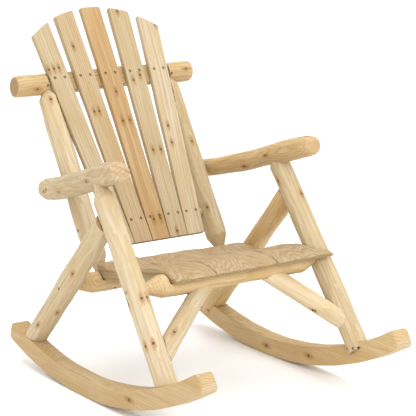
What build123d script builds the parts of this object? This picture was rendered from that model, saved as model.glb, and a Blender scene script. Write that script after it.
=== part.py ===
from build123d import *
import os
from math import cos, radians, sin, tan

# A log rocking chair. Millimetres, +Z up, the sitter faces -Y and X runs across.
# The origin is on the floor under the middle of the chair's box.

# ---- logs ---------------------------------------------------------------
LOG = 28.0  # radius of the frame's peeled logs
ARM_LOG = {-1: 30.0, 1: 27.5}  # the two sides are not quite alike
FRONT_RAIL_LOG = 29.0
REAR_RAIL_LOG = 27.0
LOWER_BAR_LOG = 25.0
LOWER_BAR_TAPER = 26.0
BRACE_LOG = 23.0
TENON = 13.0
TENON_DEEP = 22.0

# ---- rockers ------------------------------------------------------------
CONTACT_Y = 31.0  # where the rockers touch the floor
ROCKER_X = {-1: 294.5, 1: 290.5}  # the centre lines
ROCKER_THICK = 46.0
ROCKER_RADIUS = 1021.0  # of the edge that rolls on the floor
ROCKER_DEEP = 49.5
ROCKER_FRONT = 31.5  # degrees of arc ahead of the contact
ROCKER_REAR = 20.6  # degrees of arc behind it
ROCKER_NOSE = 18.0  # rounding of the ends

# ---- posts and legs: where their axes pass, and how far they lean back ---
POST_X = 282.0
POST_Y = CONTACT_Y - 213.0
POST_Z = 300.0
POST_LEAN = {-1: 33.3, 1: 38.0}  # fitted by hand, so the sides differ
POST_SHOULDER_Z = {-1: 508.0, 1: 524.0}
POST_FOOT_Z = 101.0
LEG_X = 288.0
LEG_Y = {-1: CONTACT_Y + 104.0, 1: CONTACT_Y + 111.0}
LEG_Z = 250.0
LEG_LEAN = {-1: -43.3, 1: -41.8}
LEG_FOOT_Z = 58.0
LEG_TOP_Z = 466.0

# ---- back: measured along the slats' front face from the upper screw row -
RECLINE = 30.6
BACK_X = 5.0  # the back stands this far off the middle
ROW_Y = CONTACT_Y + 347.8
ROW_Z = 745.6
SLATS = (-2, -1, 0, 1, 2)
SLAT_THICK = 15.0
SLAT_WIDE_TOP = 60.0
SLAT_WIDE_FOOT = 53.4
SLAT_PITCH = 78.0
SLAT_FAN = 2.74  # degrees between neighbouring slats
SLAT_FOOT = -476.0
SLAT_CROWN = 195.0
CROWN_RADIUS = 307.0
LOWER_ROW = -412.0
SCREW_SPREAD = 15.0  # half the distance between the two screws of a row
POLE_X = 190.5
AXIS_BEHIND = 30.0  # poles and crossbars lie this far behind the front face
POLE_TOP_SHOULDER = -45.0
POLE_FOOT_SHOULDER = -482.0
CROSSBAR_AT = -4.0
CROSSBAR_HALF = 276.0
CROSSBAR_FLAT = 189.0

# ---- arms ---------------------------------------------------------------
ARM_FRONT = (288.0, CONTACT_Y - 184.0, 597.0)
ARM_START = {-1: 0.076, 1: 0.012}  # where on that line the arms end in front
ARM_REAR = (240.0, CONTACT_Y + 281.0, 464.5)

# ---- seat ---------------------------------------------------------------
FRONT_RAIL_Y = CONTACT_Y - 208.0
FRONT_RAIL_Z = 310.0
REAR_RAIL_Y = CONTACT_Y + 95.0
REAR_RAIL_Z = 254.0
FRONT_RAIL_SHOULDER = 214.0
REAR_RAIL_SHOULDER = 220.0
RAIL_END = 272.0
RAIL_FLAT = (-199.0, 262.0)
BED_ABOVE = 4.0  # the boards' underside above the rails' axes
BOARD_FRONT_Y = CONTACT_Y - 258.0
BOARD_CREST_Y = CONTACT_Y - 150.0
BOARD_HOLLOW_Y = CONTACT_Y - 12.0
BOARD_REAR_Y = CONTACT_Y + 96.0
BOARD_NOSE = 6.0
BOARD_CREST = 37.0
BOARD_HOLLOW = 20.0
BOARD_REAR = (46.0, 41.0, 37.0)  # of the three boards
BOARD_EDGES = (-198.0, -75.0, 110.0, 256.0)
BOARD_GAP = 2.0
FRONT_BOARD_SCREWS = (-182.0, -150.0, -32.0, 62.0, 178.0, 206.0)
REAR_BOARD_SCREWS = (-160.0, -104.0, -32.0, 62.0, 132.0, 165.0)
BRACE_FOOT_Z = 159.0
BRACE_TOP_X = {-1: -83.0, 1: 112.0}
BRACE_TOP_DROP = {-1: 10.0, 1: 15.0}

# ---- screws -------------------------------------------------------------
HEAD_R = 3.6
HEAD_DEEP = 3.0
SHANK_R = 2.1
SUNK = 1.6

SIDES = {-1: "left", 1: "right"}
SLANT = radians(RECLINE)
UP_BACK = Vector(0, sin(SLANT), cos(SLANT))
OUT_BACK = Vector(0, -cos(SLANT), sin(SLANT))
BED_SLOPE = (FRONT_RAIL_Z - REAR_RAIL_Z) / (REAR_RAIL_Y - FRONT_RAIL_Y)
BED_NORMAL = Vector(0, BED_SLOPE, 1).normalized()


def post_axis(side, z):
    return Vector(side * POST_X, POST_Y + tan(radians(POST_LEAN[side])) * (z - POST_Z), z)


def leg_axis(side, z):
    return Vector(side * LEG_X, LEG_Y[side] + tan(radians(LEG_LEAN[side])) * (z - LEG_Z), z)


def back_point(x, along, out=0.0):
    """A point of the back, out in front of (or behind) the slats' front face."""
    return Vector(x, ROW_Y, ROW_Z) + UP_BACK * along + OUT_BACK * out


def bed_z(y):
    """Height of the boards' underside."""
    return FRONT_RAIL_Z + BED_ABOVE - BED_SLOPE * (y - FRONT_RAIL_Y)


def arm_point(side, share):
    front = Vector(side * ARM_FRONT[0], ARM_FRONT[1], ARM_FRONT[2])
    rear = Vector(side * ARM_REAR[0] + BACK_X, ARM_REAR[1], ARM_REAR[2])
    return front + (rear - front) * share


def turned(start, end, outline):
    """A solid of revolution about the line from start to end.

    outline lists (distance along the line, radius) from one end to the other."""
    along = (end - start).normalized()
    across = along.cross(Vector(0.31, 0.27, 0.91)).normalized()
    first, last = outline[0][0], outline[-1][0]
    with BuildPart() as spun:
        with BuildSketch(Plane(origin=start, x_dir=along, z_dir=across)):
            with BuildLine():
                Polyline((first, 0), *outline, (last, 0), close=True)
            make_face()
        revolve(axis=Axis(start, along))
    return spun.part


def log(start, end, radius, chamfered=7.0):
    """A round log with bevelled ends."""
    length = (end - start).length
    rim = radius - chamfered
    return turned(start, end, [(0, rim), (chamfered, radius), (length - chamfered, radius), (length, rim)])


def screw(at, toward, length, above=0.0):
    """A countersunk screw. With above it is the hole that such a screw is driven into."""
    start = at + toward * SUNK
    head = [(-above, HEAD_R), (HEAD_DEEP, HEAD_R)]
    return turned(start, at + toward * length, head + [(HEAD_DEEP, SHANK_R), (length, SHANK_R)])


def screws(places, above=0.0):
    """All the screws of one group, as separate solids."""
    return [screw(at, toward, length, above) for at, toward, length in places]


def mirrored_pair(place):
    """The places that place(side) gives on both sides."""
    return [spot for side in SIDES for spot in place(side)]


# ---- where the screws go ------------------------------------------------
INTO_BACK = OUT_BACK * -1
UPPER_PLACES = [
    (back_point(BACK_X + i * SLAT_PITCH + offset, 0), INTO_BACK, 36)
    for i in SLATS
    for offset in (-SCREW_SPREAD, SCREW_SPREAD)
]
LOWER_PITCH = SLAT_PITCH + tan(radians(SLAT_FAN)) * LOWER_ROW
LOWER_PLACES = [
    (back_point(BACK_X + i * LOWER_PITCH + offset, LOWER_ROW), INTO_BACK, 34)
    for i in SLATS
    for offset in (-SCREW_SPREAD, SCREW_SPREAD)
]
CROSSBAR_SCREW_TURN = radians(28)  # round the crossbar, down from its front
INTO_CROSSBAR = UP_BACK * sin(CROSSBAR_SCREW_TURN) - OUT_BACK * cos(CROSSBAR_SCREW_TURN)
CROSSBAR_PLACES = [
    (
        back_point(BACK_X + side * (CROSSBAR_FLAT + 5), CROSSBAR_AT, -AXIS_BEHIND) - INTO_CROSSBAR * LOG,
        INTO_CROSSBAR,
        48,
    )
    for side in SIDES
]
LOWER_BAR_PLACES = [
    (back_point(BACK_X + side * (POLE_X + LOG), LOWER_ROW, -AXIS_BEHIND), Vector(-side, 0, 0), 70)
    for side in SIDES
]


def arm_over_post(side):
    """Where a post's axis meets its arm's axis, seen from the side."""
    lean = tan(radians(POST_LEAN[side]))
    fall = (ARM_REAR[2] - ARM_FRONT[2]) / (ARM_REAR[1] - ARM_FRONT[1])
    return (ARM_FRONT[2] + fall * (POST_Y - lean * POST_Z - ARM_FRONT[1])) / (1 - fall * lean)


def arm_places(side):
    at_pole = arm_point(side, 0.88)
    top = post_axis(side, arm_over_post(side))
    down = (post_axis(side, POST_Z) - top).normalized()
    return [
        (at_pole + Vector(side * ARM_LOG[side], 0, 0), Vector(-side, 0, 0), 78),
        (top - down * (ARM_LOG[side] - 1), down, 78),
    ]


def post_foot_places(side):
    foot = post_axis(side, POST_FOOT_Z + 7)
    inner = side * (POST_X - LOG)
    outward = Vector(side, 0, 0)
    return [
        (Vector(inner + side * rise, foot.Y + dy, foot.Z + dz), outward, 46)
        for dy, dz, rise in ((-22, 7, 7.5), (-9, 3, 1.5), (13, -3, 2.5))
    ]


def leg_foot_places(side):
    foot = leg_axis(side, LEG_FOOT_Z + 8)
    inner = side * (LEG_X - LOG)
    outward = Vector(side, 0, 0)
    return [
        (Vector(inner + side * rise, foot.Y + dy, foot.Z + dz), outward, 46)
        for dy, dz, rise in ((-17, -3, 6.0), (9, 2, 1.5))
    ]


def rail_places(side):
    inward = Vector(-side, 0, 0)
    front = Vector(side * (POST_X + LOG), FRONT_RAIL_Y, FRONT_RAIL_Z)
    rear = Vector(side * (LEG_X + LOG), REAR_RAIL_Y, REAR_RAIL_Z)
    return [(front, inward, 92), (rear, inward, 92)]


def leg_top_places(side):
    spot = leg_axis(side, 430)
    toward = Vector(0, -1, 0)
    return [(spot + Vector(0, LOG / cos(radians(LEG_LEAN[side])), 0), toward, 102)]


def brace_places(side):
    foot, top = post_axis(side, BRACE_FOOT_Z), brace_top(side)
    low = foot + (top - foot) * 0.30
    high = foot + (top - foot) * 0.86
    outward = Vector(side, 0, 0)
    return [
        (low + outward * -27.5, outward, 74),
        (high + Vector(0, 0, -26.5), Vector(0, 0, 1), 48),
    ]


def brace_top(side):
    return Vector(BRACE_TOP_X[side], FRONT_RAIL_Y, FRONT_RAIL_Z - BRACE_TOP_DROP[side])


def board_places():
    upward = Vector(0, 0, 1)
    front = [Vector(x, FRONT_RAIL_Y, FRONT_RAIL_Z - FRONT_RAIL_LOG) for x in FRONT_BOARD_SCREWS]
    rear = [Vector(x, REAR_RAIL_Y - 17, REAR_RAIL_Z - 21) for x in REAR_BOARD_SCREWS]
    return [(at, upward, 50) for at in front + rear]


SCREW_GROUPS = {
    "upper_slat_screws": UPPER_PLACES,
    "lower_slat_screws": LOWER_PLACES,
    "crossbar_screws": CROSSBAR_PLACES,
    "lower_bar_screws": LOWER_BAR_PLACES,
    "arm_screws": mirrored_pair(arm_places),
    "post_foot_screws": mirrored_pair(post_foot_places),
    "leg_foot_screws": mirrored_pair(leg_foot_places),
    "rail_screws": mirrored_pair(rail_places),
    "leg_top_screws": mirrored_pair(leg_top_places),
    "brace_screws": mirrored_pair(brace_places),
    "seat_board_screws": board_places(),
}
BORES = {name: screws(places, above=24.0) for name, places in SCREW_GROUPS.items()}


def bore(*groups):
    """Drills the holes of the named screw groups in the part being built."""
    for name in groups:
        add(BORES[name], mode=Mode.SUBTRACT)


# ---- rockers ------------------------------------------------------------
def make_rocker(side):
    centre = (CONTACT_Y, ROCKER_RADIUS)
    inner = ROCKER_RADIUS - ROCKER_DEEP

    def rim(radius, degrees):
        turn = radians(degrees)
        return (centre[0] + radius * sin(turn), centre[1] - radius * cos(turn))

    middle = (ROCKER_REAR - ROCKER_FRONT) / 2
    face = Plane(origin=(side * ROCKER_X[side] - ROCKER_THICK / 2, 0, 0), x_dir=(0, 1, 0), z_dir=(1, 0, 0))
    with BuildPart() as rocker:
        with BuildSketch(face) as outline:
            with BuildLine():
                ThreePointArc(
                    rim(ROCKER_RADIUS, -ROCKER_FRONT),
                    rim(ROCKER_RADIUS, middle),
                    rim(ROCKER_RADIUS, ROCKER_REAR),
                )
                Line(rim(ROCKER_RADIUS, ROCKER_REAR), rim(inner, ROCKER_REAR))
                ThreePointArc(rim(inner, ROCKER_REAR), rim(inner, middle), rim(inner, -ROCKER_FRONT))
                Line(rim(inner, -ROCKER_FRONT), rim(ROCKER_RADIUS, -ROCKER_FRONT))
            make_face()
            fillet(outline.vertices(), radius=ROCKER_NOSE)
        extrude(amount=ROCKER_THICK)
        bore("post_foot_screws", "leg_foot_screws")
    return rocker.part


# ---- back slats ---------------------------------------------------------
def make_slat(index):
    back = Plane(origin=back_point(BACK_X, 0, -SLAT_THICK), x_dir=(1, 0, 0), z_dir=OUT_BACK)
    crown_y = SLAT_CROWN - CROWN_RADIUS
    turn = radians(index * SLAT_FAN)

    def corner(along, half):
        x = index * SLAT_PITCH + along * sin(turn) + half * cos(turn)
        return (x, along * cos(turn) - half * sin(turn))

    low, high = SLAT_FOOT - 30, SLAT_CROWN + 30
    with BuildPart() as slat:
        with BuildSketch(back):
            with BuildLine():
                Polyline(
                    corner(low, -SLAT_WIDE_FOOT / 2),
                    corner(high, -SLAT_WIDE_TOP / 2),
                    corner(high, SLAT_WIDE_TOP / 2),
                    corner(low, SLAT_WIDE_FOOT / 2),
                    close=True,
                )
            make_face()
            with BuildSketch(Plane.XY, mode=Mode.INTERSECT):
                with Locations((0, crown_y)):
                    Circle(CROWN_RADIUS)
                with Locations((0, (crown_y + SLAT_FOOT) / 2)):
                    Rectangle(2 * CROWN_RADIUS, crown_y - SLAT_FOOT)
        extrude(amount=SLAT_THICK)
        flats = slat.faces().filter_by(Plane(origin=(0, 0, 0), z_dir=OUT_BACK))
        front = flats.sort_by(Axis((0, 0, 0), OUT_BACK))[-1]
        chamfer(front.edges(), length=1.5)
        bore("upper_slat_screws", "lower_slat_screws")
    return slat.part


slats = {index: make_slat(index) for index in SLATS}


# ---- lower crossbar, between the poles ----------------------------------
with BuildPart() as lower_bar:
    left = back_point(BACK_X - POLE_X - 8, LOWER_ROW, -AXIS_BEHIND)
    right = back_point(BACK_X + POLE_X + 8, LOWER_ROW, -AXIS_BEHIND)
    length = (right - left).length
    nose = 8 + LOG
    add(
        turned(
            left,
            right,
            [
                (0, TENON),
                (nose, TENON),
                (nose + LOWER_BAR_TAPER, LOWER_BAR_LOG),
                (length - nose - LOWER_BAR_TAPER, LOWER_BAR_LOG),
                (length - nose, TENON),
                (length, TENON),
            ],
        )
    )
    add(slats.values(), mode=Mode.SUBTRACT)
    flat = Plane(origin=back_point(BACK_X, LOWER_ROW, -SLAT_THICK), x_dir=(1, 0, 0), z_dir=OUT_BACK)
    with BuildSketch(flat):
        Rectangle(2 * POLE_X, 3 * LOG)
    extrude(amount=LOG, mode=Mode.SUBTRACT)
    bore("lower_slat_screws", "lower_bar_screws")


# ---- poles of the back --------------------------------------------------
def make_pole(side):
    foot = back_point(BACK_X + side * POLE_X, 0, -AXIS_BEHIND) + UP_BACK * (POLE_FOOT_SHOULDER - 62)
    top = back_point(BACK_X + side * POLE_X, 0, -AXIS_BEHIND) + UP_BACK * (CROSSBAR_AT + 2)
    length = (top - foot).length
    shoulder = length - (CROSSBAR_AT + 2 - POLE_TOP_SHOULDER)
    with BuildPart() as pole:
        add(
            turned(
                foot,
                top,
                [
                    (0, TENON),
                    (26, TENON),
                    (62, LOG),
                    (shoulder, LOG),
                    (shoulder + 16, TENON + 3),
                    (shoulder + 16, TENON),
                    (length, TENON),
                ],
            )
        )
        add(slats.values(), mode=Mode.SUBTRACT)
        add(lower_bar.part, mode=Mode.SUBTRACT)
        bore("lower_bar_screws", "crossbar_screws", "arm_screws")
    return pole.part


poles = {side: make_pole(side) for side in SIDES}

# ---- upper crossbar -----------------------------------------------------
with BuildPart() as upper_bar:
    left = back_point(-CROSSBAR_HALF, CROSSBAR_AT, -AXIS_BEHIND)
    right = back_point(CROSSBAR_HALF, CROSSBAR_AT, -AXIS_BEHIND)
    add(log(left, right, LOG))
    flat = Plane(origin=back_point(BACK_X, CROSSBAR_AT, -SLAT_THICK), x_dir=(1, 0, 0), z_dir=OUT_BACK)
    with BuildSketch(flat):
        Rectangle(2 * CROSSBAR_FLAT, 3 * LOG)
    extrude(amount=LOG, mode=Mode.SUBTRACT)
    add(poles.values(), mode=Mode.SUBTRACT)
    bore("upper_slat_screws", "crossbar_screws")


rockers = {side: make_rocker(side) for side in SIDES}


# ---- front and rear rails of the seat -----------------------------------
def make_rail(y, z, radius, shoulder, cutters, groups):
    start, end = Vector(-RAIL_END, y, z), Vector(RAIL_END, y, z)
    nose = RAIL_END - shoulder
    length = 2 * RAIL_END
    with BuildPart() as rail:
        add(
            turned(
                start,
                end,
                [
                    (0, TENON),
                    (14, TENON),
                    (nose, radius),
                    (length - nose, radius),
                    (length - 14, TENON),
                    (length, TENON),
                ],
            )
        )
        middle = (RAIL_FLAT[0] + RAIL_FLAT[1]) / 2
        with BuildSketch(Plane(origin=(middle, y, bed_z(y)), x_dir=(1, 0, 0), z_dir=BED_NORMAL)):
            Rectangle(RAIL_FLAT[1] - RAIL_FLAT[0], 3 * LOG)
        extrude(amount=2 * LOG, mode=Mode.SUBTRACT)
        add(cutters, mode=Mode.SUBTRACT)
        bore(*groups)
    return rail.part


front_rail = make_rail(
    FRONT_RAIL_Y,
    FRONT_RAIL_Z,
    FRONT_RAIL_LOG,
    FRONT_RAIL_SHOULDER,
    [],
    ("rail_screws", "seat_board_screws", "brace_screws"),
)
rear_rail = make_rail(
    REAR_RAIL_Y,
    REAR_RAIL_Z,
    REAR_RAIL_LOG,
    REAR_RAIL_SHOULDER,
    list(poles.values()),
    ("rail_screws", "seat_board_screws"),
)


# ---- front posts --------------------------------------------------------
def make_post(side):
    foot, top = post_axis(side, POST_FOOT_Z), post_axis(side, arm_over_post(side) + 8)
    length = (top - foot).length
    rise = (post_axis(side, POST_SHOULDER_Z[side]) - foot).length
    with BuildPart() as post:
        add(
            turned(
                foot,
                top,
                [
                    (0, LOG - 5),
                    (6, LOG),
                    (rise, LOG),
                    (rise + 26, TENON + 3),
                    (rise + 40, TENON),
                    (length, TENON),
                ],
            )
        )
        add(rockers[side], mode=Mode.SUBTRACT)
        add(front_rail, mode=Mode.SUBTRACT)
        bore("arm_screws", "post_foot_screws", "rail_screws", "leg_top_screws", "brace_screws")
    return post.part


posts = {side: make_post(side) for side in SIDES}


# ---- rear legs ----------------------------------------------------------
def make_leg(side):
    with BuildPart() as leg:
        add(log(leg_axis(side, LEG_FOOT_Z), leg_axis(side, LEG_TOP_Z), LOG))
        add(rockers[side], mode=Mode.SUBTRACT)
        add(posts[side], mode=Mode.SUBTRACT)
        add(rear_rail, mode=Mode.SUBTRACT)
        bore("leg_foot_screws", "rail_screws", "leg_top_screws")
        keep = leg.solids().sort_by(SortBy.VOLUME)[-1]
    return keep


legs = {side: make_leg(side) for side in SIDES}


# ---- arms ---------------------------------------------------------------
def make_arm(side):
    with BuildPart() as arm:
        add(log(arm_point(side, ARM_START[side]), arm_point(side, 1), ARM_LOG[side], 9))
        add(posts[side], mode=Mode.SUBTRACT)
        add(poles[side], mode=Mode.SUBTRACT)
        bore("arm_screws")
    return arm.part


arms = {side: make_arm(side) for side in SIDES}


# ---- knee braces, from the posts up to the front rail -------------------
def make_brace(side):
    with BuildPart() as brace:
        add(log(post_axis(side, BRACE_FOOT_Z), brace_top(side), BRACE_LOG, 2))
        add(posts[side], mode=Mode.SUBTRACT)
        add(front_rail, mode=Mode.SUBTRACT)
        with BuildSketch(Plane(origin=(0, FRONT_RAIL_Y, FRONT_RAIL_Z - 12), z_dir=(0, 0, 1))):
            Rectangle(800, 300)
        extrude(amount=80, mode=Mode.SUBTRACT)
        bore("brace_screws")
        keep = brace.solids().sort_by(SortBy.VOLUME)[-1]
    return keep


braces = {side: make_brace(side) for side in SIDES}


# ---- seat boards, rounded in front and hollowed behind the crest --------
def make_board(left, right, rear):
    def top(y, thick):
        return (y, bed_z(y) + thick)

    with BuildPart() as board:
        with BuildSketch(Plane(origin=(left + BOARD_GAP / 2, 0, 0), x_dir=(0, 1, 0), z_dir=(1, 0, 0))):
            with BuildLine():
                Spline(
                    top(BOARD_FRONT_Y, BOARD_NOSE),
                    top(BOARD_CREST_Y, BOARD_CREST),
                    top(BOARD_HOLLOW_Y, BOARD_HOLLOW),
                    top(BOARD_REAR_Y, rear),
                )
                Line(top(BOARD_REAR_Y, rear), top(BOARD_REAR_Y, 0))
                Line(top(BOARD_REAR_Y, 0), top(BOARD_FRONT_Y, 0))
                Line(top(BOARD_FRONT_Y, 0), top(BOARD_FRONT_Y, BOARD_NOSE))
            make_face()
        extrude(amount=right - left - BOARD_GAP)
        add(list(posts.values()) + list(legs.values()) + list(poles.values()), mode=Mode.SUBTRACT)
        bore("seat_board_screws")
        keep = board.solids().sort_by(SortBy.VOLUME)[-1]
    return keep


# ---- write every piece --------------------------------------------------
os.makedirs("parts", exist_ok=True)


def write(shape, name):
    shape.label = name
    export_step(shape, f"parts/{name}.step")


for side, word in SIDES.items():
    write(rockers[side], f"{word}_rocker")
    write(posts[side], f"{word}_front_post")
    write(legs[side], f"{word}_rear_leg")
    write(arms[side], f"{word}_arm")
    write(poles[side], f"{word}_back_pole")
    write(braces[side], f"{word}_knee_brace")
for index, slat in slats.items():
    write(slat, f"back_slat_{index + 3}")
for number, (left, right, rear) in enumerate(zip(BOARD_EDGES, BOARD_EDGES[1:], BOARD_REAR), 1):
    write(make_board(left, right, rear), f"seat_board_{number}")
write(upper_bar.part, "upper_crossbar")
write(lower_bar.part, "lower_crossbar")
write(front_rail, "front_seat_rail")
write(rear_rail, "rear_seat_rail")
for name, places in SCREW_GROUPS.items():
    write(Compound(children=screws(places)), name)
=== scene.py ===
from math import cos, pi, radians, sin, tan

import bpy
import numpy as np
from mathutils import Matrix, Vector


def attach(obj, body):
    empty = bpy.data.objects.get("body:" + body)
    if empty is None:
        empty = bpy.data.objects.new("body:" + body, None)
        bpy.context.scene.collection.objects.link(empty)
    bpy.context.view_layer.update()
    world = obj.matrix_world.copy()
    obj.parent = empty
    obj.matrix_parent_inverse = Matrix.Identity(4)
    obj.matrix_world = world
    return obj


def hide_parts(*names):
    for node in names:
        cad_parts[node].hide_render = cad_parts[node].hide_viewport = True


# The looks of the log rocking chair. Lengths are in millimetres until a mesh is
# made, +Z is up, the sitter faces -Y, and the origin is the part's own.

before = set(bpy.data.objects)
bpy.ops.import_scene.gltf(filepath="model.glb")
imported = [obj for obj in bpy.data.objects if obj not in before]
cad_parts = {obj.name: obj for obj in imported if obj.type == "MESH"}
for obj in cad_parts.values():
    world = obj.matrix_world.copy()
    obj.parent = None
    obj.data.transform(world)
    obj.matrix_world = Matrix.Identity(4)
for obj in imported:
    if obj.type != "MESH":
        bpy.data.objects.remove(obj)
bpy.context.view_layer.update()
MM = 0.001
SIDES = {"left": -1, "right": 1}

# ---- the chair's driving dimensions, as the part has them ----
LOG = 28.0
ARM_LOG = {-1: 30.0, 1: 27.5}
FRONT_RAIL_LOG = 29.0
REAR_RAIL_LOG = 27.0
LOWER_BAR_LOG = 25.0
BRACE_LOG = 23.0
TENON = 13.0
CONTACT_Y = 31.0
ROCKER_X = {-1: 294.5, 1: 290.5}
ROCKER_THICK = 46.0
ROCKER_RADIUS = 1021.0
ROCKER_DEEP = 49.5
ROCKER_FRONT = 31.5
ROCKER_REAR = 20.6
ROCKER_NOSE = 18.0
POST_X = 282.0
POST_Y = CONTACT_Y - 213.0
POST_Z = 300.0
POST_LEAN = {-1: 33.3, 1: 38.0}
POST_SHOULDER_Z = {-1: 508.0, 1: 524.0}
POST_FOOT_Z = 101.0
LEG_X = 288.0
LEG_Y = {-1: CONTACT_Y + 104.0, 1: CONTACT_Y + 111.0}
LEG_Z = 250.0
LEG_LEAN = {-1: -43.3, 1: -41.8}
LEG_FOOT_Z = 58.0
LEG_TOP_Z = 466.0
RECLINE = 30.6
BACK_X = 5.0
ROW_Y = CONTACT_Y + 347.8
ROW_Z = 745.6
SLATS = (-2, -1, 0, 1, 2)
SLAT_THICK = 15.0
SLAT_WIDE_TOP = 60.0
SLAT_WIDE_FOOT = 53.4
SLAT_PITCH = 78.0
SLAT_FAN = 2.74
SLAT_FOOT = -476.0
SLAT_CROWN = 195.0
CROWN_RADIUS = 307.0
LOWER_ROW = -412.0
POLE_X = 190.5
AXIS_BEHIND = 30.0
POLE_TOP_SHOULDER = -45.0
POLE_FOOT_SHOULDER = -482.0
POLE_FOOT_TENON = 62.0
CROSSBAR_AT = -4.0
CROSSBAR_HALF = 276.0
CROSSBAR_FLAT = 189.0
ARM_FRONT = (288.0, CONTACT_Y - 184.0, 597.0)
ARM_START = {-1: 0.076, 1: 0.012}
ARM_REAR = (240.0, CONTACT_Y + 281.0, 464.5)
FRONT_RAIL_Y = CONTACT_Y - 208.0
FRONT_RAIL_Z = 310.0
REAR_RAIL_Y = CONTACT_Y + 95.0
REAR_RAIL_Z = 254.0
FRONT_RAIL_SHOULDER = 214.0
REAR_RAIL_SHOULDER = 220.0
RAIL_END = 272.0
RAIL_FLAT = (-199.0, 262.0)
BED_ABOVE = 4.0
BOARD_FRONT_Y = CONTACT_Y - 258.0
BOARD_REAR_Y = CONTACT_Y + 96.0
BOARD_CREST = 37.0
BOARD_HOLLOW = 20.0
BOARD_REAR = (46.0, 41.0, 37.0)
BOARD_EDGES = (-198.0, -75.0, 110.0, 256.0)
BOARD_GAP = 2.0
BRACE_FOOT_Z = 159.0
BRACE_TOP_X = {-1: -83.0, 1: 112.0}
BRACE_TOP_DROP = {-1: 10.0, 1: 15.0}

SLANT = radians(RECLINE)
UP_BACK = np.array((0, sin(SLANT), cos(SLANT)))
OUT_BACK = np.array((0, -cos(SLANT), sin(SLANT)))
BED_SLOPE = (FRONT_RAIL_Z - REAR_RAIL_Z) / (REAR_RAIL_Y - FRONT_RAIL_Y)


def post_axis(side, z):
    return np.array((side * POST_X, POST_Y + tan(radians(POST_LEAN[side])) * (z - POST_Z), z))


def leg_axis(side, z):
    return np.array((side * LEG_X, LEG_Y[side] + tan(radians(LEG_LEAN[side])) * (z - LEG_Z), z))


def back_point(x, along, out=0.0):
    return np.array((x, ROW_Y, ROW_Z)) + UP_BACK * along + OUT_BACK * out


def bed_z(y):
    return FRONT_RAIL_Z + BED_ABOVE - BED_SLOPE * (y - FRONT_RAIL_Y)


def arm_point(side, share):
    front = np.array((side * ARM_FRONT[0], ARM_FRONT[1], ARM_FRONT[2]))
    rear = np.array((side * ARM_REAR[0] + BACK_X, ARM_REAR[1], ARM_REAR[2]))
    return front + (rear - front) * share


def arm_over_post(side):
    lean = tan(radians(POST_LEAN[side]))
    fall = (ARM_REAR[2] - ARM_FRONT[2]) / (ARM_REAR[1] - ARM_FRONT[1])
    return (ARM_FRONT[2] + fall * (POST_Y - lean * POST_Z - ARM_FRONT[1])) / (1 - fall * lean)


def brace_top(side):
    return np.array((BRACE_TOP_X[side], FRONT_RAIL_Y, FRONT_RAIL_Z - BRACE_TOP_DROP[side]))


# =========================================================================
# Mesh making
# =========================================================================
class Axes:
    """A piece's own axes: x along its grain, z towards its face."""

    def __init__(self, origin, along, face):
        self.o = np.array(origin, float)
        self.x = np.array(along, float) / np.linalg.norm(along)
        y = np.cross(face, self.x)
        self.y = y / np.linalg.norm(y)
        self.z = np.cross(self.x, self.y)

    def place(self, x, y, z):
        """Points of the chair for the piece's own coordinates."""
        runs = ((x, self.x), (y, self.y), (z, self.z))
        x, y, z = (np.multiply.outer(run, axis) for run, axis in runs)
        return self.o + x + y + z

    def matrix(self):
        return Matrix([[self.x[i], self.y[i], self.z[i], self.o[i] * MM] for i in range(3)] + [[0, 0, 0, 1]])


def ripple(seed, size, *coordinates):
    """Smooth random bumps about size apart, mostly between -1 and 1."""
    dice = np.random.default_rng(seed)
    total = 0
    for _ in range(9):
        wave = dice.normal(size=len(coordinates)) * 3.6 / size
        total = total + np.sin(sum(w * c for w, c in zip(wave, coordinates)) + dice.uniform(0, 2 * pi))
    return total / 3


def flat(at, tilt_y=0.0, tilt_z=0.0, rough=0.0, seed=1):
    """A sawn end. Tilts are slopes, rough is the height of its splinters."""

    def cut(y, z):
        return at + tilt_y * y + tilt_z * z + rough * ripple(seed, 9, y, z)

    return cut


def meets(axes, point, along, radius, sign):
    """Where the piece's lines meet a round log: sign -1 on the way in, 1 on the way out."""
    a = np.array(along, float) / np.linalg.norm(along)

    def cut(y, z):
        rel = axes.place(0 * y, y, z) - np.array(point, float)
        rel = rel - np.multiply.outer(rel @ a, a)
        run = axes.x - (axes.x @ a) * a
        size, b, c = run @ run, rel @ run, (rel * rel).sum(-1) - radius * radius
        return (-b + sign * np.sqrt(np.maximum(b * b - size * c, 0))) / size

    return cut


def round_section(count=64):
    """Core and normal of each point round a log."""
    turn = np.arange(count) * 2 * pi / count
    return np.stack([0 * turn, 0 * turn, np.cos(turn), np.sin(turn)], 1)


def board_section(across, through, corner=3):
    """The same for a rounded rectangle, with points across each face and through each edge."""
    rows = []
    for index, (u, v) in enumerate(((1, 1), (-1, 1), (-1, -1), (1, -1))):
        for step in range(corner + 1):
            turn = index * pi / 2 + step * pi / 2 / corner
            rows.append((u, v, cos(turn), sin(turn)))
        count = across if index % 2 == 0 else through
        turn = (index + 1) * pi / 2
        nu, nv = ((-1, 1), (-1, -1), (1, -1), (1, 1))[index]
        for step in range(1, count):
            share = step / count
            rows.append((u + (nu - u) * share, v + (nv - v) * share, cos(turn), sin(turn)))
    return np.array(rows)


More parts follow.
